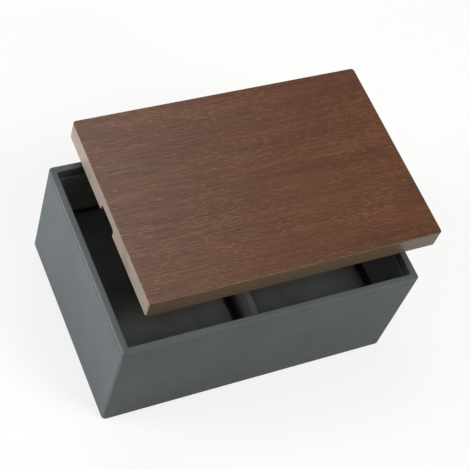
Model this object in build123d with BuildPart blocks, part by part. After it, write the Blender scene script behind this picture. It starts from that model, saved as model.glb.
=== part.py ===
from build123d import *
import os

# Lidded two-compartment watch box, millimetres
# Origin: centre of the underside, +X along the length, +Y to the back, +Z up
# The lid lies askew on the rim, moved towards the back right corner

# Driving dimensions of the box
box_length = 180.0
box_width = 122.0
box_height = 77.0
corner_radius = 2.5
lid_thickness = 12.5
deck_top = 31.0
divider_top = 52.0
lid_offset_x = 18.5
lid_offset_y = 17.5

# Sheet and board thicknesses
base_sheet_thickness = 0.5
wrap_thickness = 0.6
core_thickness = 2.9
base_board_thickness = 3.0
lining_card_thickness = 1.0
suede_thickness = 0.5
deck_thickness = 2.5
batten_thickness = 4.0
divider_core_thickness = 3.0
pad_card_thickness = 1.0
veneer_thickness = 0.5
plug_board_thickness = 1.5

# Places on the walls
base_sheet_margin = 2.5
wrap_fold_width = 10.0
wrap_fold_radius = 0.5
seam_gap = 0.3
outside_leg_height = 2.8
inside_leg_height = 6.6
rim_round = 0.8
rim_inner_radius = 1.0
mitre_gap = 0.1

# Padded floors
pad_side_gap = 3.5
pad_end_gap = 0.8
pad_draw_in = 0.5
pad_edge_height = 4.2
pad_crown_height = 5.4
pad_end_arc_height = 7.0
pad_card_margin = 1.5

# Lid
lid_corner_radius = 2.0
lid_top_round = 0.4
plug_clearance = 0.6
plug_corner_radius = 1.5
notch_length = 18.0
notch_height = 5.0
notch_corner_radius = 2.0

# Derived plan sizes, from the outside inwards
core_length = box_length - 2 * wrap_thickness
core_width = box_width - 2 * wrap_thickness
core_corner_radius = corner_radius - wrap_thickness
well_length = core_length - 2 * core_thickness
well_width = core_width - 2 * core_thickness
mouth_length = well_length - 2 * wrap_thickness
mouth_width = well_width - 2 * wrap_thickness
lining_thickness = lining_card_thickness + suede_thickness
room_length = well_length - 2 * lining_thickness
room_width = well_width - 2 * lining_thickness

# Derived heights, from the floor up
wrap_bottom = base_sheet_thickness
core_bottom = wrap_bottom + wrap_thickness
core_top = box_height - wrap_thickness
base_board_top = core_bottom + base_board_thickness
deck_bottom = deck_top - deck_thickness
outside_leg_bottom = box_height - outside_leg_height
wrap_top = outside_leg_bottom - seam_gap
inside_leg_bottom = box_height - inside_leg_height
lining_top = inside_leg_bottom
pad_bottom = deck_top + pad_card_thickness

# Derived sizes of the divider and the two padded floors
divider_thickness = divider_core_thickness + 2 * suede_thickness
pad_length = (room_length - divider_thickness) / 2 - 2 * pad_side_gap
pad_width = room_width - 2 * pad_end_gap
pad_centre_x = (room_length + divider_thickness) / 4

# Derived places of the lid, which stands on its plug on the rim
plug_length = mouth_length - 2 * plug_clearance
plug_width = mouth_width - 2 * plug_clearance
plug_bottom = box_height
plug_board_bottom = plug_bottom + suede_thickness
lid_bottom = plug_board_bottom + plug_board_thickness
lid_core_bottom = lid_bottom + veneer_thickness
lid_top = lid_bottom + lid_thickness
lid_core_top = lid_top - veneer_thickness
lid_core_length = box_length - 2 * veneer_thickness
lid_core_width = box_width - 2 * veneer_thickness
lid_core_radius = lid_corner_radius - veneer_thickness
notch_depth = (box_length - plug_length) / 2

sides = ("front", "back", "left", "right")
long_sides = ("front", "back")
short_ends = ("left", "right")
direction = {"front": -1, "back": 1, "left": -1, "right": 1}

os.makedirs("parts", exist_ok=True)


def save(piece, name):
    """Label one finished piece and write it to its own file."""
    piece.part.label = name
    export_step(piece.part, f"parts/{name}.step")


def wall_strip(side, length, width, thickness):
    """Centre and size in plan of one wall; the long walls run past the short ones."""
    if side in long_sides:
        return (0, direction[side] * (width - thickness) / 2), (length, thickness)
    centre = (direction[side] * (length - thickness) / 2, 0)
    return centre, (thickness, width - 2 * thickness)


def mitre_outline(side, length, width):
    """Corners of the plan region that belongs to one side between its two mitres."""
    overhang = corner_radius
    half_length = length / 2 + overhang
    half_width = width / 2 + overhang
    trim = mitre_gap / 2
    if side in long_sides:
        sign = direction[side]
        outer_x = half_length - trim
        inner_x = half_length - half_width - trim
        corners = [(-outer_x, half_width), (outer_x, half_width), (inner_x, 0), (-inner_x, 0)]
        return [(x, sign * y) for x, y in corners]
    sign = direction[side]
    outer_y = half_width - trim
    tip_x = half_length - outer_y
    corners = [(half_length, -outer_y), (half_length, outer_y), (tip_x, 0)]
    return [(sign * x, y) for x, y in corners]


# Base sheet under the whole box
with BuildPart() as base_sheet:
    with BuildSketch():
        RectangleRounded(
            box_length - 2 * base_sheet_margin,
            box_width - 2 * base_sheet_margin,
            corner_radius,
        )
    extrude(amount=base_sheet_thickness)
save(base_sheet, "base_sheet")

# Base board between the four walls
with BuildPart() as base_board:
    with BuildSketch(Plane.XY.offset(core_bottom)):
        Rectangle(well_length, well_width)
    extrude(amount=base_board_thickness)
save(base_board, "base_board")

# Board cores of the four walls
for side in sides:
    centre, size = wall_strip(side, core_length, core_width, core_thickness)
    with BuildPart() as wall_core:
        with BuildSketch(Plane.XY.offset(core_bottom)):
            with Locations(centre):
                Rectangle(*size)
        extrude(amount=core_top - core_bottom)
        if side in long_sides:
            upright = wall_core.edges().filter_by(Axis.Z).sort_by(Axis.Y)
            outer_edges = upright[:2] if side == "front" else upright[-2:]
            fillet(outer_edges, radius=core_corner_radius)
    save(wall_core, f"{side}_wall_core")

# Outer wrap round all four walls, folded in under the base board
with BuildPart() as outer_wrap:
    with BuildSketch(Plane.XY.offset(wrap_bottom)):
        RectangleRounded(box_length, box_width, corner_radius)
    extrude(amount=wrap_top - wrap_bottom)
    bottom_rim = outer_wrap.faces().sort_by(Axis.Z)[0].edges()
    fillet(bottom_rim, radius=wrap_fold_radius)
    with BuildSketch(Plane.XY.offset(core_bottom)):
        RectangleRounded(core_length, core_width, core_corner_radius)
    extrude(amount=wrap_top - core_bottom, mode=Mode.SUBTRACT)
    with BuildSketch(Plane.XY.offset(wrap_bottom)):
        Rectangle(box_length - 2 * wrap_fold_width, box_width - 2 * wrap_fold_width)
    extrude(amount=wrap_thickness, mode=Mode.SUBTRACT)
save(outer_wrap, "outer_wrap")

# Rim bands folded over the wall tops, mitred at the corners
for side in sides:
    with BuildPart() as rim_band:
        with BuildSketch(Plane.XY.offset(inside_leg_bottom)):
            RectangleRounded(box_length, box_width, corner_radius)
            RectangleRounded(mouth_length, mouth_width, rim_inner_radius, mode=Mode.SUBTRACT)
        extrude(amount=inside_leg_height)
        top_rims = rim_band.faces().sort_by(Axis.Z)[-1].edges()
        fillet(top_rims, radius=rim_round)
        with BuildSketch(Plane.XY.offset(inside_leg_bottom)):
            RectangleRounded(core_length, core_width, core_corner_radius)
            Rectangle(well_length, well_width, mode=Mode.SUBTRACT)
        extrude(amount=core_top - inside_leg_bottom, mode=Mode.SUBTRACT)
        with BuildSketch(Plane.XY.offset(inside_leg_bottom)):
            Rectangle(box_length + corner_radius, box_width + corner_radius)
            RectangleRounded(core_length, core_width, core_corner_radius, mode=Mode.SUBTRACT)
        extrude(amount=outside_leg_bottom - inside_leg_bottom, mode=Mode.SUBTRACT)
        with BuildSketch(Plane.XY.offset(inside_leg_bottom)):
            Polygon(*mitre_outline(side, box_length, box_width), align=None)
        extrude(amount=inside_leg_height, mode=Mode.INTERSECT)
    save(rim_band, f"{side}_rim_band")

# Battens that carry the deck, standing on the base board
for side in sides:
    centre, size = wall_strip(side, well_length, well_width, batten_thickness)
    with BuildPart() as batten:
        with BuildSketch(Plane.XY.offset(base_board_top)):
            with Locations(centre):
                Rectangle(*size)
        extrude(amount=deck_bottom - base_board_top)
    save(batten, f"{side}_deck_batten")

# Deck board, the raised floor under both compartments
with BuildPart() as deck_board:
    with BuildSketch(Plane.XY.offset(deck_bottom)):
        Rectangle(well_length, well_width)
    extrude(amount=deck_thickness)
save(deck_board, "deck_board")

# Lining cards against the walls, and the suede covers folded over their tops
for side in sides:
    full_centre, full_size = wall_strip(side, well_length, well_width, lining_thickness)
    card_centre, card_size = wall_strip(side, well_length, well_width, lining_card_thickness)
    card_size = (min(card_size[0], full_size[0]), min(card_size[1], full_size[1]))
    with BuildPart() as lining_card:
        with BuildSketch(Plane.XY.offset(deck_top)):
            with Locations(card_centre):
                Rectangle(*card_size)
        extrude(amount=lining_top - suede_thickness - deck_top)
    save(lining_card, f"{side}_lining_card")
    with BuildPart() as lining_cover:
        with BuildSketch(Plane.XY.offset(deck_top)):
            with Locations(full_centre):
                Rectangle(*full_size)
        extrude(amount=lining_top - deck_top)
        with BuildSketch(Plane.XY.offset(deck_top)):
            with Locations(card_centre):
                Rectangle(*card_size)
        extrude(amount=lining_top - suede_thickness - deck_top, mode=Mode.SUBTRACT)
    save(lining_cover, f"{side}_lining_cover")

# Divider board across the middle, from the front lining to the back lining
with BuildPart() as divider_core:
    with BuildSketch(Plane.XY.offset(deck_top)):
        Rectangle(divider_core_thickness, room_width)
    extrude(amount=divider_top - suede_thickness - deck_top)
save(divider_core, "divider_core")

# Suede cover folded over the divider
with BuildPart() as divider_cover:
    with BuildSketch(Plane.XY.offset(deck_top)):
        Rectangle(divider_thickness, room_width)
    extrude(amount=divider_top - deck_top)
    crest = divider_cover.faces().sort_by(Axis.Z)[-1].edges().filter_by(Axis.Y)
    fillet(crest, radius=wrap_fold_radius)
    with BuildSketch(Plane.XY.offset(deck_top)):
        Rectangle(divider_core_thickness, room_width)
    extrude(amount=divider_top - suede_thickness - deck_top, mode=Mode.SUBTRACT)
save(divider_cover, "divider_cover")

# Stiff cards and crowned pads on the floor of each compartment
for end in short_ends:
    centre_x = direction[end] * pad_centre_x
    with BuildPart() as pad_card:
        with BuildSketch(Plane.XY.offset(deck_top)):
            with Locations((centre_x, 0)):
                Rectangle(pad_length - 2 * pad_card_margin, pad_width - 2 * pad_card_margin)
        extrude(amount=pad_card_thickness)
    save(pad_card, f"{end}_pad_card")

    with BuildPart() as floor_pad:
        with BuildSketch(Plane.XY.offset(pad_bottom)):
            with BuildLine():
                left_x = centre_x - pad_length / 2
                right_x = centre_x + pad_length / 2
                near_y = -pad_width / 2
                far_y = pad_width / 2
                ThreePointArc((left_x, near_y), (centre_x, near_y + pad_draw_in), (right_x, near_y))
                ThreePointArc((right_x, near_y), (right_x - pad_draw_in, 0), (right_x, far_y))
                ThreePointArc((right_x, far_y), (centre_x, far_y - pad_draw_in), (left_x, far_y))
                ThreePointArc((left_x, far_y), (left_x + pad_draw_in, 0), (left_x, near_y))
            make_face()
        extrude(amount=pad_end_arc_height)
        with BuildSketch(Plane.XZ.offset(-pad_width / 2)):
            with BuildLine():
                Line((left_x, pad_bottom), (right_x, pad_bottom))
                Line((right_x, pad_bottom), (right_x, pad_bottom + pad_edge_height))
                ThreePointArc(
                    (right_x, pad_bottom + pad_edge_height),
                    (centre_x, pad_bottom + pad_crown_height),
                    (left_x, pad_bottom + pad_edge_height),
                )
                Line((left_x, pad_bottom + pad_edge_height), (left_x, pad_bottom))
            make_face()
        extrude(amount=pad_width, mode=Mode.INTERSECT)
        with BuildSketch(Plane.YZ.offset(left_x)):
            with BuildLine():
                Line((near_y, pad_bottom), (far_y, pad_bottom))
                Line((far_y, pad_bottom), (far_y, pad_bottom + pad_edge_height))
                ThreePointArc(
                    (far_y, pad_bottom + pad_edge_height),
                    (0, pad_bottom + pad_end_arc_height),
                    (near_y, pad_bottom + pad_edge_height),
                )
                Line((near_y, pad_bottom + pad_edge_height), (near_y, pad_bottom))
            make_face()
        extrude(amount=pad_length, mode=Mode.INTERSECT)
    save(floor_pad, f"{end}_floor_pad")


def lid_plane(height):
    """Level plane centred on the lid where it lies."""
    return Plane.XY.offset(height).shift_origin((lid_offset_x, lid_offset_y, height))


def notch_plane(end):
    """Upright plane at one end of the lid, facing out."""
    end_x = lid_offset_x + direction[end] * box_length / 2
    return Plane(
        origin=(end_x, lid_offset_y, lid_bottom),
        x_dir=(0, direction[end], 0),
        z_dir=(direction[end], 0, 0),
    )


def cut_notch(end):
    """Cut the finger notch of one end into the piece being built."""
    with BuildSketch(notch_plane(end)) as notch:
        Rectangle(notch_length, 2 * notch_height)
        fillet(notch.vertices(), radius=notch_corner_radius)
    extrude(notch.sketch, amount=-notch_depth, mode=Mode.SUBTRACT)


# Lid core with a finger notch in the underside of each end
with BuildPart() as lid_core:
    with BuildSketch(lid_plane(lid_core_bottom)):
        RectangleRounded(lid_core_length, lid_core_width, lid_core_radius)
    extrude(amount=lid_core_top - lid_core_bottom)
    for end in short_ends:
        cut_notch(end)
save(lid_core, "lid_core")

# Top veneer
with BuildPart() as lid_top_veneer:
    with BuildSketch(lid_plane(lid_core_top)):
        RectangleRounded(box_length, box_width, lid_corner_radius)
    extrude(amount=veneer_thickness)
    veneer_rim = lid_top_veneer.faces().sort_by(Axis.Z)[-1].edges()
    fillet(veneer_rim, radius=lid_top_round)
save(lid_top_veneer, "lid_top_veneer")

# Edge veneers, mitred at the corners, the two end ones notched
for side in sides:
    with BuildPart() as lid_edge:
        with BuildSketch(lid_plane(lid_bottom)):
            RectangleRounded(box_length, box_width, lid_corner_radius)
            RectangleRounded(lid_core_length, lid_core_width, lid_core_radius, mode=Mode.SUBTRACT)
        extrude(amount=lid_core_top - lid_bottom)
        with BuildSketch(lid_plane(lid_bottom)):
            Polygon(*mitre_outline(side, box_length, box_width), align=None)
        extrude(amount=lid_core_top - lid_bottom, mode=Mode.INTERSECT)
        if side in short_ends:
            cut_notch(side)
    save(lid_edge, f"lid_{side}_edge_veneer")

# Backing veneer on the underside
with BuildPart() as lid_backing_veneer:
    with BuildSketch(lid_plane(lid_bottom)):
        RectangleRounded(lid_core_length, lid_core_width, lid_core_radius)
    extrude(amount=veneer_thickness)
    for end in short_ends:
        cut_notch(end)
save(lid_backing_veneer, "lid_backing_veneer")

# Plug board that drops between the walls when the lid is closed
with BuildPart() as lid_plug_board:
    with BuildSketch(lid_plane(plug_board_bottom)):
        RectangleRounded(
            plug_length - 2 * suede_thickness,
            plug_width - 2 * suede_thickness,
            plug_corner_radius - suede_thickness,
        )
    extrude(amount=plug_board_thickness)
save(lid_plug_board, "lid_plug_board")

# Suede cover under and round the plug board
with BuildPart() as lid_plug_cover:
    with BuildSketch(lid_plane(plug_bottom)):
        RectangleRounded(plug_length, plug_width, plug_corner_radius)
    extrude(amount=lid_bottom - plug_bottom)
    with BuildSketch(lid_plane(plug_board_bottom)):
        RectangleRounded(
            plug_length - 2 * suede_thickness,
            plug_width - 2 * suede_thickness,
            plug_corner_radius - suede_thickness,
        )
    extrude(amount=plug_board_thickness, mode=Mode.SUBTRACT)
save(lid_plug_cover, "lid_plug_cover")
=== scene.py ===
import math

import bmesh
import bpy
from bpy.props import FloatProperty, FloatVectorProperty, PointerProperty
from mathutils import Matrix, Vector


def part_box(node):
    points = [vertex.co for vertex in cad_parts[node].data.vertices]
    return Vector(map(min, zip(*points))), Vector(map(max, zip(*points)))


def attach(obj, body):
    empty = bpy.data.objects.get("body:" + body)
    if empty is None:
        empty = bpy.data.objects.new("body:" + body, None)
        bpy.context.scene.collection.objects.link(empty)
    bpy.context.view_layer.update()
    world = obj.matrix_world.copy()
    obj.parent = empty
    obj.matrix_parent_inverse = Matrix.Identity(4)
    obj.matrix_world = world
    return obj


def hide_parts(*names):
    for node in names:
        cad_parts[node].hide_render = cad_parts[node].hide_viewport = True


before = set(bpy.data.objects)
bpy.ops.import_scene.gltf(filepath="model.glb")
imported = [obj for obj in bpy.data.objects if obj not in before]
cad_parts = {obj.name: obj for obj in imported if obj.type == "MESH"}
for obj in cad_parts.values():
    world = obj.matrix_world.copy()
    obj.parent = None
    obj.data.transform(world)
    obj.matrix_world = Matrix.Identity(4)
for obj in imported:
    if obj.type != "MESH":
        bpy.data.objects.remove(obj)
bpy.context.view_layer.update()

bl_info = {
    "name": "Lidded watch tray",
    "version": (1, 0, 0),
    "blender": (4, 5, 0),
    "location": "View3D > Sidebar > Watch tray",
    "description": "Dresses a leatherette watch tray with suede wells and a veneered lid",
    "category": "Object",
}

MM = 0.001
# Places closer together than this count as the same place
NEAR = 0.05 * MM
# A cut treats a corner this close to its plane as lying on it
ON_PLANE = 0.0001 * MM
# Facets across a rounded upright corner, a folded edge, a rolled edge and a cut edge
CORNER_FACETS = 8
FOLD_FACETS = 4
ROLL_FACETS = 5
CUT_FACETS = 2
UP = Vector((0, 0, 1))
SIDES = ("front", "back", "left", "right")
ENDS = ("left", "right")
OUTWARD = {
    "front": Vector((0, -1, 0)),
    "back": Vector((0, 1, 0)),
    "left": Vector((-1, 0, 0)),
    "right": Vector((1, 0, 0)),
}


def linear(hex_colour):
    """Turn an sRGB hex colour into the linear colour that a shader takes."""
    channels = [int(hex_colour[place:place + 2], 16) / 255 for place in (1, 3, 5)]
    low = [channel / 12.92 for channel in channels]
    high = [((channel + 0.055) / 1.055) ** 2.4 for channel in channels]
    picked = [a if c <= 0.04045 else b for a, b, c in zip(low, high, channels)]
    return (*picked, 1.0)


class LeatheretteSettings(bpy.types.PropertyGroup):
    """Coated cloth on the outside of the case."""

    colour: FloatVectorProperty(
        name="Colour", description="Body colour of the leatherette",
        default=linear("#52585a"), size=4, subtype="COLOR",
    )
    grain: FloatProperty(
        name="Grain", description="Width of one pebble of the embossed grain",
        default=0.8 * MM, unit="LENGTH",
    )
    thickness: FloatProperty(
        name="Thickness", description="Thickness of the coated cloth", default=0.6 * MM,
        unit="LENGTH",
    )
    corner: FloatProperty(
        name="Corner radius", description="Radius of the case's upright corners",
        default=2.5 * MM, unit="LENGTH",
    )
    turned_edge: FloatProperty(
        name="Turned edge", description="Roundness of the cut edges beside the seam",
        default=0.3 * MM, unit="LENGTH",
    )
    rim_width: FloatProperty(
        name="Rim width", description="Width of the band on top of the walls",
        default=4.1 * MM, unit="LENGTH",
    )
    fold_in: FloatProperty(
        name="Fold in", description="Width of the cloth folded in under the case",
        default=10 * MM, unit="LENGTH",
    )


class SuedeSettings(bpy.types.PropertyGroup):
    """Short-napped cloth inside the case."""

    colour: FloatVectorProperty(
        name="Colour", description="Colour of the suede", default=linear("#6f726e"), size=4,
        subtype="COLOR",
    )
    nap: FloatProperty(
        name="Nap", description="Width of one tuft of the nap", default=0.6 * MM, unit="LENGTH"
    )
    thickness: FloatProperty(
        name="Thickness", description="Thickness of the suede", default=0.5 * MM, unit="LENGTH"
    )
    swell: FloatProperty(
        name="Pad swell", description="Furthest that the pads' foam may push out",
        default=1.2 * MM, unit="LENGTH",
    )
    pad_roll: FloatProperty(
        name="Pad roll", description="Radius of the pads' rolled top edges", default=3 * MM,
        unit="LENGTH",
    )


class VeneerSettings(bpy.types.PropertyGroup):
    """Stained wood of the lid."""

    ground: FloatVectorProperty(
        name="Ground", description="Stained colour of the wood between its marks",
        default=linear("#60361d"), size=4, subtype="COLOR",
    )
    dark: FloatVectorProperty(
        name="Late wood", description="Colour of the dark grain lines",
        default=linear("#371f10"), size=4, subtype="COLOR",
    )
    pale: FloatVectorProperty(
        name="Flecks", description="Colour of the short pale flecks",
        default=linear("#93683e"), size=4, subtype="COLOR",
    )
    band: FloatProperty(
        name="Band width", description="Width of the broad bands across the grain",
        default=11 * MM, unit="LENGTH",
    )
    line: FloatProperty(
        name="Line width", description="Width of one fine grain line", default=0.7 * MM,
        unit="LENGTH",
    )
    fleck: FloatProperty(
        name="Fleck width", description="Width of one pale fleck", default=0.38 * MM,
        unit="LENGTH",
    )


class StudioSettings(bpy.types.PropertyGroup):
    """Camera and lights."""

    azimuth: FloatProperty(
        name="Azimuth", description="Direction of the camera round the object",
        default=math.radians(-131.35), subtype="ANGLE",
    )
    elevation: FloatProperty(
        name="Elevation", description="Height of the camera above the table",
        default=math.radians(54.31), subtype="ANGLE",
    )
    roll: FloatProperty(
        name="Roll", description="Turn of the camera about its own axis",
        default=math.radians(22.39), subtype="ANGLE",
    )
    distance: FloatProperty(
        name="Distance", description="Camera to the point it looks at", default=0.8129,
        unit="LENGTH",
    )
    lens: FloatProperty(
        name="Lens", description="Focal length on a 36 mm sensor", default=106.6
    )
    target: FloatVectorProperty(
        name="Target", description="Point that the camera looks at",
        default=(0.0117, 0.0103, 0.045), subtype="XYZ",
    )


class TraySettings(bpy.types.PropertyGroup):
    """All settings of the watch tray."""

    leatherette: PointerProperty(type=LeatheretteSettings)
    suede: PointerProperty(type=SuedeSettings)
    veneer: PointerProperty(type=VeneerSettings)
    studio: PointerProperty(type=StudioSettings)


def add_node(tree, kind, settings=None, links=None):
    """Add a node; names in settings are sockets where the node has them, else properties."""
    node = tree.nodes.new(kind)
    for name, value in (settings or {}).items():
        if isinstance(name, str) and name not in node.inputs:
            setattr(node, name, value)
    for name, value in (settings or {}).items():
        if not isinstance(name, str) or name in node.inputs:
            node.inputs[name].default_value = value
    for name, source in (links or {}).items():
        tree.links.new(source, node.inputs[name])
    return node


def new_material(name):
    """Empty node material with its tree and its Object coordinates."""
    material = bpy.data.materials.new(name)
    material.use_nodes = True
    tree = material.node_tree
    tree.nodes.clear()
    place = add_node(tree, "ShaderNodeTexCoord")
    return material, tree, place.outputs["Object"]


def finish_material(tree, settings, links, height, depth):
    """Add the shader, with a bump of the given depth in metres, and the output."""
    bump = add_node(
        tree, "ShaderNodeBump", {"Distance": depth, "Strength": 1.0}, {"Height": height}
    )
    links = {**links, "Normal": bump.outputs["Normal"]}
    shader = add_node(tree, "ShaderNodeBsdfPrincipled", settings, links)
    add_node(tree, "ShaderNodeOutputMaterial", links={"Surface": shader.outputs["BSDF"]})


def lay_over(tree, base, pattern, start, end, strength, colour):
    """Lay a colour over a base where a pattern's value runs from start to end."""
    mask = add_node(
        tree, "ShaderNodeMapRange",
        {"From Min": start, "From Max": end, "To Min": 0.0, "To Max": strength},
        {"Value": pattern},
    )
    settings = {"data_type": "RGBA", 7: colour}
    links = {0: mask.outputs["Result"]}
    if isinstance(base, tuple):
        settings[6] = base
    else:
        links[6] = base
    return add_node(tree, "ShaderNodeMix", settings, links).outputs[2]


def lightened(colour, factor):
    """A linear colour made lighter or darker by a factor."""
    red, green, blue, alpha = colour
    return (red * factor, green * factor, blue * factor, alpha)


def polyurethane_leatherette(settings):
    """Coated cloth embossed by a roller.

    The eye sees a soft satin skin of tiny pebbles, a little cloudy where it was glued down.
    """
    material, tree, place = new_material("polyurethane_leatherette")
    colour = tuple(settings.colour)
    cloud_width = 28 * MM
    speck_width = 1.6 * MM
    emboss_depth = 0.04 * MM
    pebble = add_node(
        tree, "ShaderNodeTexVoronoi",
        {"feature": "SMOOTH_F1", "Scale": 1 / settings.grain, "Smoothness": 0.6},
        {"Vector": place},
    )
    cloud = add_node(
        tree, "ShaderNodeTexNoise", {"Scale": 1 / cloud_width, "Detail": 3.0}, {"Vector": place}
    )
    speck = add_node(
        tree, "ShaderNodeTexNoise", {"Scale": 1 / speck_width, "Detail": 4.0}, {"Vector": place}
    )
    # Broad clouds first, then small darker specks over them
    body = lay_over(
        tree, lightened(colour, 0.95), cloud.outputs["Fac"], 0.35, 0.65, 1.0,
        lightened(colour, 1.06),
    )
    body = lay_over(
        tree, body, speck.outputs["Fac"], 0.55, 0.8, 0.35, lightened(colour, 0.8)
    )
    # The tops of the pebbles are smoother than the grooves between them
    gloss = add_node(
        tree, "ShaderNodeMapRange",
        {"From Min": 0.0, "From Max": 0.8, "To Min": 0.46, "To Max": 0.62},
        {"Value": pebble.outputs["Distance"]},
    )
    finish_material(
        tree, {"IOR": 1.48, "Specular IOR Level": 0.4},
        {"Base Color": body, "Roughness": gloss.outputs["Result"]},
        pebble.outputs["Distance"], -emboss_depth,
    )
    return material


def microfibre_suede(settings):
    """Brushed microfibre over card or foam.

    The eye sees a matt nap with cloudy hand strokes and a pale sheen along the folds.
    """
    material, tree, place = new_material("microfibre_suede")
    colour = tuple(settings.colour)
    stroke_width = 14 * MM
    nap_depth = 0.1 * MM
    stroke = add_node(
        tree, "ShaderNodeTexNoise",
        {"Scale": 1 / stroke_width, "Detail": 4.0, "Distortion": 0.6}, {"Vector": place},
    )
    tuft = add_node(
        tree, "ShaderNodeTexNoise", {"Scale": 1 / settings.nap, "Detail": 2.0}, {"Vector": place}
    )
    # Hand strokes first, then the dark roots between the tufts
    body = lay_over(
        tree, lightened(colour, 0.9), stroke.outputs["Fac"], 0.35, 0.65, 1.0,
        lightened(colour, 1.1),
    )
    body = lay_over(tree, body, tuft.outputs["Fac"], 0.35, 0.7, 0.4, lightened(colour, 0.72))
    finish_material(
        tree,
        {"Roughness": 0.95, "Specular IOR Level": 0.15, "Sheen Weight": 0.2,
         "Sheen Roughness": 0.5, "Sheen Tint": lightened(colour, 2.0)},
        {"Base Color": body}, tuft.outputs["Fac"], nap_depth,
    )
    return material


def stained_walnut(settings, name, middle, along, wear_and_painted_light_share=0.0, wear_and_painted_light=None):
    """Sliced walnut, stained and sealed with a thin satin lacquer.

    The eye sees broad soft bands, fine grain lines, short pale flecks and thin dark pores, all
    lying along the grain. A pale wash greys the wood, as on a sanded edge; on the lid's ends it
    is painted light.
    """
    material, tree, place = new_material(name)
    ground, dark, pale = (tuple(c) for c in (settings.ground, settings.dark, settings.pale))
    turn = 0.0 if along == "X" else math.pi / 2
    wander_length = 70 * MM
    wander_width = 4 * MM
    pore_depth = 0.05 * MM
    centred = add_node(
        tree, "ShaderNodeMapping",
        {"vector_type": "TEXTURE", "Location": middle, "Rotation": (0, 0, turn)},
        {"Vector": place},
    )
    # The grain wanders slowly to each side
    wander = add_node(
        tree, "ShaderNodeTexNoise", {"Scale": 1 / wander_length, "Detail": 1.0},
        {"Vector": centred.outputs["Vector"]},
    )
    drift = add_node(
        tree, "ShaderNodeVectorMath",
        {"operation": "MULTIPLY", 1: (0, wander_width, wander_width)},
        {0: wander.outputs["Color"]},
    )
    grained = add_node(
        tree, "ShaderNodeVectorMath", {"operation": "ADD"},
        {0: centred.outputs["Vector"], 1: drift.outputs["Vector"]},
    )
    # Length along the grain, width across it, and the noise's detail
    patterns = {
        "band": (160 * MM, settings.band, 2.0),
        "line": (42 * MM, settings.line, 4.0),
        "patch": (38 * MM, 20 * MM, 2.0),
        "fleck": (4.5 * MM, settings.fleck, 1.0),
        "pore": (7 * MM, 0.45 * MM, 1.0),
    }
    values = {}
    # Each pattern reads another part of the noise, so that none repeats the one before
    for order, (pattern, (length, width, detail)) in enumerate(patterns.items()):
        stretched = add_node(
            tree, "ShaderNodeMapping",
            {"Location": (7.3 * order, 3.1 * order, 1.7 * order),
             "Scale": (1 / length, 1 / width, 1 / width)},
            {"Vector": grained.outputs["Vector"]},
        )
        noise = add_node(
            tree, "ShaderNodeTexNoise", {"Scale": 1.0, "Detail": detail},
            {"Vector": stretched.outputs["Vector"]},
        )
        values[pattern] = noise.outputs["Fac"]
    # Flecks crowd together in patches
    crowded = add_node(
        tree, "ShaderNodeMath", {"operation": "MULTIPLY_ADD", 1: 0.35},
        {0: values["patch"], 2: values["fleck"]},
    )
    # From the broadest mark to the finest: bands, dark lines, pale lines, flecks and pores
    body = lay_over(
        tree, lightened(ground, 0.84), values["band"], 0.35, 0.68, 1.0, lightened(ground, 1.14)
    )
    body = lay_over(tree, body, values["line"], 0.46, 0.72, 0.42, dark)
    body = lay_over(tree, body, values["line"], 0.5, 0.28, 0.22, pale)
    body = lay_over(tree, body, crowded.outputs["Value"], 0.76, 0.9, 0.55, pale)
    body = lay_over(tree, body, values["pore"], 0.6, 0.74, 0.55, lightened(dark, 0.7))
    if wear_and_painted_light is not None:
        # A wash greys the edges in patches: sanding on the long edges, painted light on the ends
        body = lay_over(tree, body, values["patch"], 0.15, 0.45, wear_and_painted_light_share, wear_and_painted_light)
    # The lacquer lies a little smoother between the grain lines than over them
    gloss = add_node(
        tree, "ShaderNodeMapRange",
        {"From Min": 0.3, "From Max": 0.7, "To Min": 0.33, "To Max": 0.43},
        {"Value": values["line"]},
    )
    finish_material(
        tree, {"IOR": 1.5},
        {"Base Color": body, "Roughness": gloss.outputs["Result"]}, values["pore"],
        -pore_depth,
    )
    return material


def pressed_board(name, colour, fibre):
    """Board pressed from fibres.

    The eye sees a matt felt of short pale and dark fibres lying every way.
    """
    material, tree, place = new_material(name)
    fibre_depth = 0.08 * MM
    fibres = add_node(
        tree, "ShaderNodeTexNoise", {"Scale": 1 / fibre, "Detail": 6.0, "Roughness": 0.7},
        {"Vector": place},
    )
    flock = add_node(tree, "ShaderNodeTexVoronoi", {"Scale": 0.4 / fibre}, {"Vector": place})
    # Pale and dark fibres first, then a few dark clumps
    body = lay_over(
        tree, lightened(colour, 0.75), fibres.outputs["Fac"], 0.3, 0.7, 1.0,
        lightened(colour, 1.2),
    )
    body = lay_over(
        tree, body, flock.outputs["Distance"], 0.25, 0.0, 0.35, lightened(colour, 0.55)
    )
    finish_material(
        tree, {"Roughness": 0.85, "Specular IOR Level": 0.3}, {"Base Color": body},
        fibres.outputs["Fac"], fibre_depth,
    )
    return material


def coat(pieces, material):
    """Give each piece one material in all of its slots."""
    for piece in pieces:
        piece.data.materials.clear()
        piece.data.materials.append(material)


def nodes_named(*names):
    """The CAD nodes of these names, with side and end filled in where a name asks for them."""
    found = []
    for name in names:
        if "{side}" in name:
            found += [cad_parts[name.format(side=side)] for side in SIDES]
        elif "{end}" in name:
            found += [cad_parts[name.format(end=end)] for end in ENDS]
        else:
            found.append(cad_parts[name])
    return found


def deselect():
    """Leave object mode with nothing selected."""
    if bpy.context.object and bpy.context.object.mode != "OBJECT":
        bpy.ops.object.mode_set(mode="OBJECT")
    bpy.ops.object.select_all(action="DESELECT")


def block(name, low, high):
    """Start a piece as a block between two corners, left open in edit mode."""
    deselect()
    bpy.ops.mesh.primitive_cube_add(size=1, location=(low + high) / 2, scale=high - low)
    piece = bpy.context.object
    piece.name = name
    bpy.ops.object.transform_apply(location=True, rotation=True, scale=True)
    bpy.ops.object.mode_set(mode="EDIT")
    return piece


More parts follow.
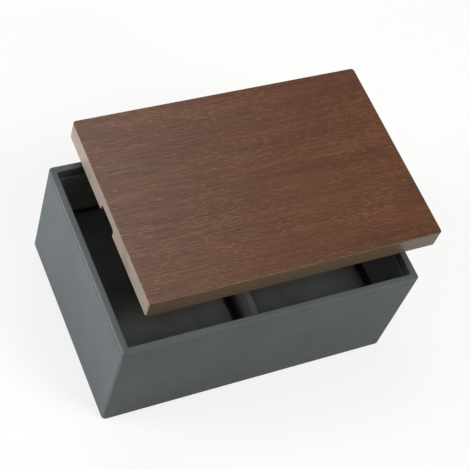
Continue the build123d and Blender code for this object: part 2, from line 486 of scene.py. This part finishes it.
def pick(piece, kind, wanted):
    """In edit mode, select only the faces or edges for which wanted is true."""
    bpy.ops.mesh.select_mode(type=kind)
    bpy.ops.mesh.select_all(action="DESELECT")
    shape = bmesh.from_edit_mesh(piece.data)
    for part in shape.faces if kind == "FACE" else shape.edges:
        part.select_set(wanted(part))
    bmesh.update_edit_mesh(piece.data)


def facing(*directions):
    """Test for a face that looks in one of the directions."""
    return lambda face: any(face.normal.dot(direction) > 0.9 for direction in directions)


def upright(edge):
    """True for an edge that stands along Z."""
    first, second = (corner.co for corner in edge.verts)
    return abs(first.z - second.z) > 0.9 * (first - second).length


def level(height):
    """Test for an edge that lies at a height."""
    return lambda edge: all(abs(corner.co.z - height) < NEAR for corner in edge.verts)


def folded(edge):
    """True for an edge where two faces meet at more than 45 degrees."""
    return len(edge.link_faces) == 2 and edge.calc_face_angle() > math.radians(45)


def outer(edge):
    """True for an edge on the outside of a piece that goes round the Z axis."""
    return any(
        abs(face.normal.z) < 0.5 and face.normal.dot(face.calc_center_median()) > 0
        for face in edge.link_faces
    )


def thicken(piece, thickness):
    """Give a sheet its thickness inwards from its outer face."""
    bpy.ops.object.mode_set(mode="OBJECT")
    solid = piece.modifiers.new("Solidify", "SOLIDIFY")
    solid.thickness = thickness
    solid.offset = -1
    solid.use_even_offset = True
    bpy.ops.object.modifier_apply(modifier=solid.name)
    bpy.ops.object.mode_set(mode="EDIT")


def hand_over(piece, material, slot, body, *nodes):
    """Finish a modelled piece: smooth it, coat it and let it stand for its CAD nodes."""
    bpy.ops.object.mode_set(mode="OBJECT")
    deselect()
    piece.select_set(True)
    bpy.context.view_layer.objects.active = piece
    bpy.ops.object.shade_smooth_by_angle(angle=math.radians(35))
    coat([piece], material)
    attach(piece, body)
    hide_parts(*nodes)


class TRAY_OT_case_boards(bpy.types.Operator):
    """Finish the boards and cards that the coverings hide"""

    bl_idname = "tray.case_boards"
    bl_label = "Case boards"

    def execute(self, context):
        fibreboard = pressed_board("medium_density_fibreboard", linear("#a98a63"), 0.6 * MM)
        coat(
            nodes_named("base_board", "lid_core", "{side}_wall_core", "{side}_deck_batten"),
            fibreboard,
        )
        greyboard = pressed_board("bookbinders_greyboard", linear("#5b5c57"), 0.9 * MM)
        coat(
            nodes_named(
                "deck_board", "divider_core", "lid_plug_board", "{side}_lining_card",
                "{end}_pad_card",
            ),
            greyboard,
        )
        return {"FINISHED"}


class TRAY_OT_case_wrap(bpy.types.Operator):
    """Model the leatherette round the four walls, folded in under the case"""

    bl_idname = "tray.case_wrap"
    bl_label = "Case wrap"

    def execute(self, context):
        settings = context.scene.tray.leatherette
        leatherette = polyurethane_leatherette(settings)
        bottom_edge = 0.5 * MM
        low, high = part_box("outer_wrap")
        skin = block("case_skin", low, high)
        pick(skin, "EDGE", upright)
        bpy.ops.mesh.bevel(offset=settings.corner, segments=CORNER_FACETS, affect="EDGES")
        pick(skin, "FACE", facing(UP, -UP))
        bpy.ops.mesh.delete(type="FACE")

        # The cloth goes under the case and ends in a rounded opening
        opening = high - low - Vector((1, 1, 0)) * 2 * settings.fold_in
        bpy.ops.mesh.primitive_plane_add(size=1, location=(0, 0, low.z))
        bpy.ops.transform.resize(value=(opening.x, opening.y, 1), center_override=(0, 0, low.z))
        bpy.ops.mesh.bevel(offset=settings.corner, segments=CORNER_FACETS, affect="VERTICES")
        bpy.ops.mesh.delete(type="ONLY_FACE")
        pick(skin, "EDGE", level(low.z))
        bpy.ops.mesh.bridge_edge_loops()
        bpy.ops.mesh.select_all(action="SELECT")
        bpy.ops.mesh.normals_make_consistent(inside=False)
        pick(skin, "EDGE", lambda edge: level(low.z)(edge) and folded(edge))
        bpy.ops.mesh.bevel(offset=bottom_edge, segments=3, affect="EDGES")

        thicken(skin, settings.thickness)
        pick(skin, "EDGE", lambda edge: level(high.z)(edge) and outer(edge) and folded(edge))
        bpy.ops.mesh.bevel(offset=settings.turned_edge, segments=CUT_FACETS, affect="EDGES")
        hand_over(skin, leatherette, "grey_leatherette", "box", "outer_wrap")
        coat(nodes_named("base_sheet"), leatherette)
        return {"FINISHED"}


class TRAY_OT_rim_bands(bpy.types.Operator):
    """Model the band folded over the wall tops and mitre it into four"""

    bl_idname = "tray.rim_bands"
    bl_label = "Rim bands"

    def execute(self, context):
        settings = context.scene.tray.leatherette
        wrap_low, wrap_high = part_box("outer_wrap")
        band_low, band_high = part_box("front_rim_band")
        mouth = Vector((wrap_high.x, wrap_high.y, 0)) - Vector((1, 1, 0)) * settings.rim_width
        seam_gap = 0.3 * MM
        mouth_radius = 1.6 * MM
        top_edge = 0.9 * MM

        # A block whose top is set in and pushed down is the fold over all four walls
        low = Vector((wrap_low.x, wrap_low.y, wrap_high.z + seam_gap))
        high = Vector((wrap_high.x, wrap_high.y, band_high.z))
        ring = block("rim_ring", low, high)
        pick(ring, "FACE", facing(UP))
        bpy.ops.mesh.inset(thickness=settings.rim_width, use_even_offset=True)
        bpy.ops.mesh.extrude_region_move(
            TRANSFORM_OT_translate={"value": (0, 0, band_low.z - high.z)}
        )
        bpy.ops.mesh.delete(type="FACE")
        pick(ring, "FACE", facing(-UP))
        bpy.ops.mesh.delete(type="FACE")
        pick(ring, "EDGE", lambda edge: upright(edge) and outer(edge))
        bpy.ops.mesh.bevel(offset=settings.corner, segments=CORNER_FACETS, affect="EDGES")
        pick(
            ring, "EDGE", lambda edge: upright(edge)
            and abs(edge.verts[0].co.x) < mouth.x + NEAR
            and abs(edge.verts[0].co.y) < mouth.y + NEAR,
        )
        bpy.ops.mesh.bevel(offset=mouth_radius, segments=CORNER_FACETS, affect="EDGES")
        pick(ring, "EDGE", lambda edge: level(high.z)(edge) and folded(edge))
        bpy.ops.mesh.bevel(offset=top_edge, segments=FOLD_FACETS, affect="EDGES")
        thicken(ring, settings.thickness)
        pick(ring, "EDGE", lambda edge: level(low.z)(edge) and outer(edge) and folded(edge))
        bpy.ops.mesh.bevel(offset=settings.turned_edge, segments=CUT_FACETS, affect="EDGES")
        bpy.ops.object.mode_set(mode="OBJECT")

        # Each side keeps its half of the ring, cut by a 45 degree plane at both corners
        leatherette = bpy.data.materials["polyurethane_leatherette"]
        for side in SIDES:
            band = ring.copy()
            band.data = ring.data.copy()
            band.name = f"{side}_leather_band"
            context.collection.objects.link(band)
            deselect()
            band.select_set(True)
            context.view_layer.objects.active = band
            bpy.ops.object.mode_set(mode="EDIT")
            out = OUTWARD[side]
            sideways = Vector((-out.y, out.x, 0))
            bpy.ops.mesh.select_all(action="SELECT")
            bpy.ops.mesh.bisect(
                plane_co=(0, 0, 0), plane_no=-out, clear_outer=True, threshold=ON_PLANE
            )
            for turn in (-1, 1):
                normal = (sideways * turn - out).normalized()
                corner = Vector((
                    high.x * (out.x + sideways.x * turn), high.y * (out.y + sideways.y * turn), 0
                ))
                bpy.ops.mesh.select_all(action="SELECT")
                bpy.ops.mesh.bisect(
                    plane_co=corner - normal * NEAR, plane_no=normal, use_fill=True,
                    clear_outer=True, threshold=ON_PLANE,
                )
            hand_over(band, leatherette, "grey_leatherette", "box", f"{side}_rim_band")
        bpy.data.objects.remove(ring)
        return {"FINISHED"}


class TRAY_OT_lining(bpy.types.Operator):
    """Model the suede on the four walls, folded over the tops of its cards"""

    bl_idname = "tray.lining"
    bl_label = "Wall lining"

    def execute(self, context):
        settings = context.scene.tray.suede
        suede = microfibre_suede(settings)
        top_edge = 0.45 * MM
        for side in SIDES:
            low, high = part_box(f"{side}_lining_cover")
            out = OUTWARD[side]
            depth = abs((high - low).dot(out))
            sheet_low, sheet_high = low.copy(), high.copy()
            axis = 0 if out.x else 1
            if out[axis] < 0:
                sheet_low[axis] = high[axis] - settings.thickness
            else:
                sheet_high[axis] = low[axis] + settings.thickness
            cover = block(f"{side}_suede_lining", sheet_low, sheet_high)
            fold_height = high.z - settings.thickness
            bpy.ops.mesh.select_all(action="SELECT")
            bpy.ops.mesh.bisect(plane_co=(0, 0, fold_height), plane_no=UP)
            pick(
                cover, "FACE", lambda face: facing(out)(face)
                and face.calc_center_median().z > fold_height,
            )
            bpy.ops.mesh.extrude_region_move(
                TRANSFORM_OT_translate={"value": out * (depth - settings.thickness)}
            )
            bpy.ops.mesh.select_all(action="SELECT")
            bpy.ops.mesh.dissolve_limited(angle_limit=math.radians(1))
            pick(
                cover, "EDGE", lambda edge: level(high.z)(edge) and folded(edge)
                and any(facing(-out)(face) for face in edge.link_faces),
            )
            bpy.ops.mesh.bevel(offset=top_edge, segments=FOLD_FACETS, affect="EDGES")
            hand_over(cover, suede, "grey_suede", "box", f"{side}_lining_cover")
        coat(nodes_named("lid_plug_cover"), suede)
        return {"FINISHED"}


class TRAY_OT_divider(bpy.types.Operator):
    """Model the suede folded over the divider board"""

    bl_idname = "tray.divider"
    bl_label = "Divider"

    def execute(self, context):
        settings = context.scene.tray.suede
        top_edge = 0.8 * MM
        low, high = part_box("divider_cover")
        fold_height = high.z - settings.thickness
        cover = block("divider_suede", Vector((low.x, low.y, fold_height)), high)
        leg_line = high.x - settings.thickness
        for place in (-leg_line, leg_line):
            bpy.ops.mesh.select_all(action="SELECT")
            bpy.ops.mesh.bisect(plane_co=(place, 0, 0), plane_no=(1, 0, 0))
        pick(
            cover, "FACE", lambda face: facing(-UP)(face)
            and abs(face.calc_center_median().x) > leg_line,
        )
        bpy.ops.mesh.extrude_region_move(
            TRANSFORM_OT_translate={"value": (0, 0, low.z - fold_height)}
        )
        bpy.ops.mesh.select_all(action="SELECT")
        bpy.ops.mesh.dissolve_limited(angle_limit=math.radians(1))
        pick(
            cover, "EDGE", lambda edge: level(high.z)(edge)
            and abs(edge.verts[0].co.x - edge.verts[1].co.x) < NEAR,
        )
        bpy.ops.mesh.bevel(offset=top_edge, segments=ROLL_FACETS, affect="EDGES")
        suede = bpy.data.materials["microfibre_suede"]
        hand_over(cover, suede, "grey_suede", "box", "divider_cover")
        return {"FINISHED"}


class TRAY_OT_floor_pads(bpy.types.Operator):
    """Make the two foam pads on the floor of the wells"""

    bl_idname = "tray.floor_pads"
    bl_label = "Floor pads"

    def swell(self, pad, low, high, cap):
        """Let the foam push the suede out as cloth, no further than the cap or the box."""
        foam_pressure = 4.0
        last_frame = 20
        before = [corner.co.copy() for corner in pad.data.vertices]
        cloth = pad.modifiers.new("Cloth", "CLOTH")
        cloth.settings.use_pressure = True
        cloth.settings.uniform_pressure_force = foam_pressure
        cloth.settings.effector_weights.gravity = 0.0
        for frame_number in range(1, last_frame + 1):
            bpy.context.scene.frame_set(frame_number)
        shaped = pad.evaluated_get(bpy.context.evaluated_depsgraph_get()).to_mesh()
        after = [corner.co.copy() for corner in shaped.vertices]
        pad.modifiers.remove(cloth)
        bpy.context.scene.frame_set(1)
        for corner, start, end in zip(pad.data.vertices, before, after):
            move = end - start
            place = start + move.normalized() * min(move.length, cap)
            corner.co = [min(max(place[i], low[i]), high[i]) for i in range(3)]

    def execute(self, context):
        settings = context.scene.tray.suede
        suede = bpy.data.materials["microfibre_suede"]
        # Room for the swell at the sides and above
        slack = 0.5 * MM
        slim = Vector((slack, slack, 0))
        head_room = Vector((0, 0, 2 * slack))
        bottom_zone = 2 * MM
        voxel = 1.6 * MM
        for end in ENDS:
            low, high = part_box(f"{end}_floor_pad")
            pad = block(f"{end}_suede_pad", low + slim, high - slim - head_room)
            pick(pad, "EDGE", upright)
            bpy.ops.mesh.bevel(
                offset=settings.pad_roll, segments=ROLL_FACETS, affect="EDGES"
            )
            pick(
                pad, "EDGE", lambda edge: folded(edge)
                and all(corner.co.z > low.z + bottom_zone for corner in edge.verts),
            )
            bpy.ops.mesh.bevel(
                offset=settings.pad_roll, segments=ROLL_FACETS, affect="EDGES"
            )
            bpy.ops.object.mode_set(mode="OBJECT")
            remesh = pad.modifiers.new("Remesh", "REMESH")
            remesh.mode = "VOXEL"
            remesh.voxel_size = voxel
            bpy.ops.object.modifier_apply(modifier=remesh.name)
            self.swell(pad, low, high, settings.swell)
            # Take away the steps that the voxels leave
            smooth = pad.modifiers.new("Smooth", "SMOOTH")
            smooth.iterations = 6
            bpy.ops.object.modifier_apply(modifier=smooth.name)
            finer = pad.modifiers.new("Subdivision", "SUBSURF")
            finer.levels = 1
            finer.render_levels = 1
            bpy.ops.object.modifier_apply(modifier=finer.name)
            bpy.ops.object.shade_smooth()
            coat([pad], suede)
            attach(pad, "box")
            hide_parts(f"{end}_floor_pad")
        return {"FINISHED"}


class TRAY_OT_lid(bpy.types.Operator):
    """Finish the lid's veneers"""

    bl_idname = "tray.lid"
    bl_label = "Lid veneers"

    def execute(self, context):
        settings = context.scene.tray.veneer
        low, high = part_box("lid_top_veneer")
        middle = (low + high) / 2
        face = stained_walnut(settings, "stained_walnut_face", middle, "X")
        # The ends are painted paler than the long edges: painted light, standing for the strong
        # lamp light on the lid's end
        long_edge = stained_walnut(
            settings, "sanded_walnut_edge", middle, "X", wear_and_painted_light_share=0.7, wear_and_painted_light=linear("#6d6152")
        )
        # The pale wash #9f958b on both ends is painted light
        end_edge = stained_walnut(
            settings, "cross_cut_walnut_edge", middle, "Y", wear_and_painted_light_share=0.8, wear_and_painted_light=linear("#9f958b")
        )
        coat(nodes_named("lid_top_veneer", "lid_backing_veneer"), face)
        coat(nodes_named("lid_front_edge_veneer", "lid_back_edge_veneer"), long_edge)
        coat(nodes_named("lid_left_edge_veneer", "lid_right_edge_veneer"), end_edge)
        return {"FINISHED"}


class TRAY_OT_studio(bpy.types.Operator):
    """Make the floor, the lamps and the camera"""

    bl_idname = "tray.studio"
    bl_label = "Studio"

    # Name, direction from the object, distance and width in metres, power in watts, colour
    LAMPS = (
        ("left_window", Vector((-0.93, 0.25, 0.18)), 1.0, 0.5, 11.2, "#ffffff"),
        ("front_softbox", Vector((0.50, -0.80, 0.30)), 1.1, 0.5, 3.8, "#ffffe6"),
        ("high_softbox", Vector((0.35, -0.45, 0.82)), 1.1, 0.5, 3.9, "#fffffa"),
        ("back_softbox", Vector((0.10, 0.48, 0.85)), 1.25, 0.45, 2.9, "#ffffff"),
    )

    def floor(self):
        """Lay the white paper floor, which keeps a faint shadow and looks nearly pure white."""
        floor_width = 6.0
        deselect()
        bpy.ops.mesh.primitive_plane_add(size=floor_width)
        floor = bpy.context.object
        floor.name = "studio_floor"
        material, tree, _ = new_material("white_paper_floor")
        rays = add_node(tree, "ShaderNodeLightPath")
        seen = add_node(
            tree, "ShaderNodeMath", {"operation": "MAXIMUM"},
            {0: rays.outputs["Is Camera Ray"], 1: rays.outputs["Is Glossy Ray"]},
        )
        # Only a grey floor's light reaches the case, so that its walls stay dark low down
        tone = add_node(
            tree, "ShaderNodeMix",
            {"data_type": "RGBA", 6: linear("#7c7c7c"), 7: linear("#ffffff")},
            {0: seen.outputs["Value"]},
        )
        paper = add_node(
            tree, "ShaderNodeBsdfDiffuse", {"Roughness": 0.5}, {"Color": tone.outputs[2]}
        )
        # The camera sees mostly even white, and enough of the lit paper to keep the shadow
        glow = add_node(tree, "ShaderNodeEmission", {"Color": linear("#ffffff"), "Strength": 1.0})
        share = add_node(
            tree, "ShaderNodeMath", {"operation": "MULTIPLY", 1: 0.75},
            {0: rays.outputs["Is Camera Ray"]},
        )
        mixed = add_node(
            tree, "ShaderNodeMixShader", links={
                0: share.outputs["Value"], 1: paper.outputs["BSDF"], 2: glow.outputs["Emission"]
            },
        )
        add_node(tree, "ShaderNodeOutputMaterial", links={"Surface": mixed.outputs["Shader"]})
        coat([floor], material)

    def sky(self, scene):
        """Set a dim even world that the camera sees as white."""
        world = scene.world or bpy.data.worlds.new("studio")
        scene.world = world
        world.use_nodes = True
        tree = world.node_tree
        tree.nodes.clear()
        rays = add_node(tree, "ShaderNodeLightPath")
        dim, white = 0.25, 1.0
        strength = add_node(
            tree, "ShaderNodeMapRange", {"To Min": dim, "To Max": white},
            {"Value": rays.outputs["Is Camera Ray"]},
        )
        sky = add_node(
            tree, "ShaderNodeBackground", {"Color": linear("#ffffff")},
            {"Strength": strength.outputs["Result"]},
        )
        add_node(tree, "ShaderNodeOutputWorld", links={"Surface": sky.outputs["Background"]})

    def execute(self, context):
        settings = context.scene.tray.studio
        scene = context.scene
        target = Vector(settings.target)
        self.floor()
        self.sky(scene)
        for name, direction, distance, width, power, colour in self.LAMPS:
            bpy.ops.object.light_add(
                type="AREA", location=target + direction.normalized() * distance
            )
            light = context.object
            light.name = name
            light.data.size = width
            light.data.energy = power
            light.data.color = linear(colour)[:3]
            light.rotation_euler = (-direction).to_track_quat("-Z", "Y").to_euler()

        flat = math.cos(settings.elevation)
        away = Vector((
            flat * math.cos(settings.azimuth),
            flat * math.sin(settings.azimuth),
            math.sin(settings.elevation),
        ))
        bpy.ops.object.camera_add(location=target + away * settings.distance)
        camera = context.object
        camera.name = "studio_camera"
        look = (-away).to_track_quat("-Z", "Y").to_matrix()
        camera.rotation_euler = (look @ Matrix.Rotation(settings.roll, 3, "Z")).to_euler()
        camera.data.lens = settings.lens
        camera.data.sensor_width = 36
        camera.data.clip_start = 0.01
        scene.camera = camera
        scene.view_settings.view_transform = "Standard"
        return {"FINISHED"}


class TRAY_PT_panel(bpy.types.Panel):
    """Lists the pieces of the watch tray"""

    bl_idname = "TRAY_PT_panel"
    bl_label = "Watch tray"
    bl_space_type = "VIEW_3D"
    bl_region_type = "UI"
    bl_category = "Watch tray"

    def draw(self, context):
        for operator in OPERATORS:
            self.layout.operator(operator.bl_idname)


OPERATORS = (
    TRAY_OT_case_boards,
    TRAY_OT_case_wrap,
    TRAY_OT_rim_bands,
    TRAY_OT_lining,
    TRAY_OT_divider,
    TRAY_OT_floor_pads,
    TRAY_OT_lid,
    TRAY_OT_studio,
)
CLASSES = (
    LeatheretteSettings,
    SuedeSettings,
    VeneerSettings,
    StudioSettings,
    TraySettings,
    *OPERATORS,
    TRAY_PT_panel,
)


def register():
    """Register the classes and hang the settings on the scene."""
    for one in CLASSES:
        bpy.utils.register_class(one)
    bpy.types.Scene.tray = PointerProperty(type=TraySettings)


def unregister():
    """Take the settings and the classes away again."""
    del bpy.types.Scene.tray
    for one in reversed(CLASSES):
        bpy.utils.unregister_class(one)


def main():
    """Make every piece in order."""
    register()
    for operator in OPERATORS:
        group, name = operator.bl_idname.split(".")
        getattr(getattr(bpy.ops, group), name)()


if __name__ == "__main__":
    main()
